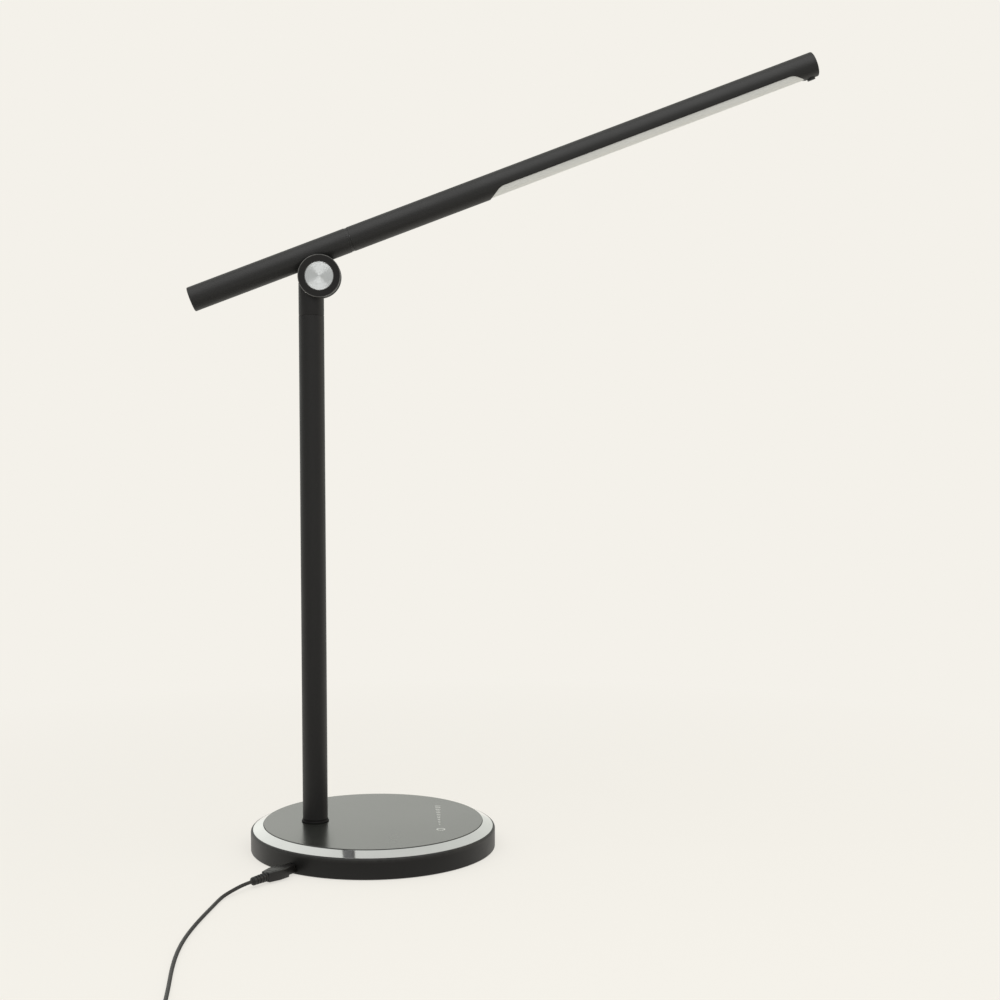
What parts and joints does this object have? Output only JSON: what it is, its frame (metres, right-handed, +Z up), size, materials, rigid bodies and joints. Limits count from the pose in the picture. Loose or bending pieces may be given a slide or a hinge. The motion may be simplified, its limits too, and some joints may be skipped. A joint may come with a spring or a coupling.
{
  "type": "led desk lamp",
  "caption": "LED desk lamp with a round weighted base, a tubular post that swivels, a tilting bar arm and a light head that rolls about its own axis.",
  "frame": {"origin": "centre of the base's round underside, on the surface that it stands on", "axes": "+Z up along the post, +X from the post towards the light head's tip, +Y to the back; the free cord leaves towards -Y"},
  "size_m": [0.4585, 0.4802, 0.5824],
  "materials": {
    "charcoal_tube": "satin charcoal anodised",
    "charcoal_post": "satin charcoal anodised",
    "charcoal_shell": "satin charcoal",
    "polished_ring": "polished",
    "touch_plate": "smooth, dark",
    "spun_disc": "spun",
    "barrel": "satin charcoal with bright chamfers",
    "diffuser": "pale, frosted",
    "light_chip": "pale yellow",
    "board": "white solder mask",
    "control_board": "green solder mask",
    "carrier": "plain",
    "steel": "plain",
    "zinc_steel": "zinc plated",
    "bush": "natural acetal",
    "black_plastic": "fine grain",
    "button": "satin",
    "pad": "matt",
    "seam_ring": "matt",
    "cord": "matt",
    "plug": "matt moulding",
    "plug_metal": "nickel plated"
  },
  "bodies": {
    "base": {"base_shell": "charcoal_shell", "trim_ring": "polished_ring", "top_plate": "touch_plate", "control_board": "control_board", "base_weight": "steel", "weight_screws": "zinc_steel", "bottom_cover": "black_plastic", "cover_screws": "zinc_steel", "anti_slip_pad": "pad", "power_socket": "black_plastic", "pivot_bush": "bush", "plug_tip": "plug_metal", "plug_body": "plug", "plug_relief": "plug", "cord_lead": "cord", "cord_coil": "cord", "cord_tie": "black_plastic", "usb_relief": "plug", "usb_body": "plug", "usb_shell": "plug_metal", "usb_tongue": "black_plastic"},
    "post": {"post_foot": "charcoal_post", "spring_washer": "zinc_steel", "post_nut": "zinc_steel", "post_tube": "charcoal_post", "post_wire": "cord", "neck": "charcoal_post"},
    "arm": {"hinge_barrel": "barrel", "hinge_pin": "zinc_steel", "hinge_nut": "zinc_steel", "friction_washers": "bush", "trim_disc_front": "spun_disc", "trim_disc_rear": "spun_disc", "rear_tube": "charcoal_tube", "saddle_plate": "zinc_steel", "saddle_screws": "zinc_steel", "rear_cap": "charcoal_tube", "roll_spigot": "zinc_steel", "roll_ring": "seam_ring", "roll_washer": "zinc_steel", "roll_nut": "zinc_steel", "arm_wire": "cord"},
    "head": {"head_tube": "charcoal_tube", "head_bush": "bush", "led_carrier": "carrier", "led_board": "board", "leds": "light_chip", "diffuser": "diffuser", "head_cap": "charcoal_tube", "push_switch": "black_plastic"},
    "button": {"switch_button": "button"}
  },
  "joints": [
    {"name": "post_swivel", "type": "hinge", "parent": "base", "child": "post", "pos_m": [-0.0428, 0, 0.0196], "axis": [0, 0, 1], "range_deg": [-90, 90]},
    {"name": "arm_tilt", "type": "hinge", "parent": "post", "child": "arm", "pos_m": [-0.0366, 0, 0.419], "axis": [0, -1, 0], "range_deg": [-110, 24]},
    {"name": "head_roll", "type": "hinge", "parent": "arm", "child": "head", "pos_m": [-0.0151, 0, 0.44546], "axis": [0.9348, 0, 0.3551], "range_deg": [-90, 90]},
    {"name": "button_press", "type": "slide", "parent": "head", "child": "button", "axis": [-0.3551, 0, 0.9348], "range_m": [0, 0.0008], "stiffness_N_per_m": 1200, "springref_m": -0.0004}
  ]
}
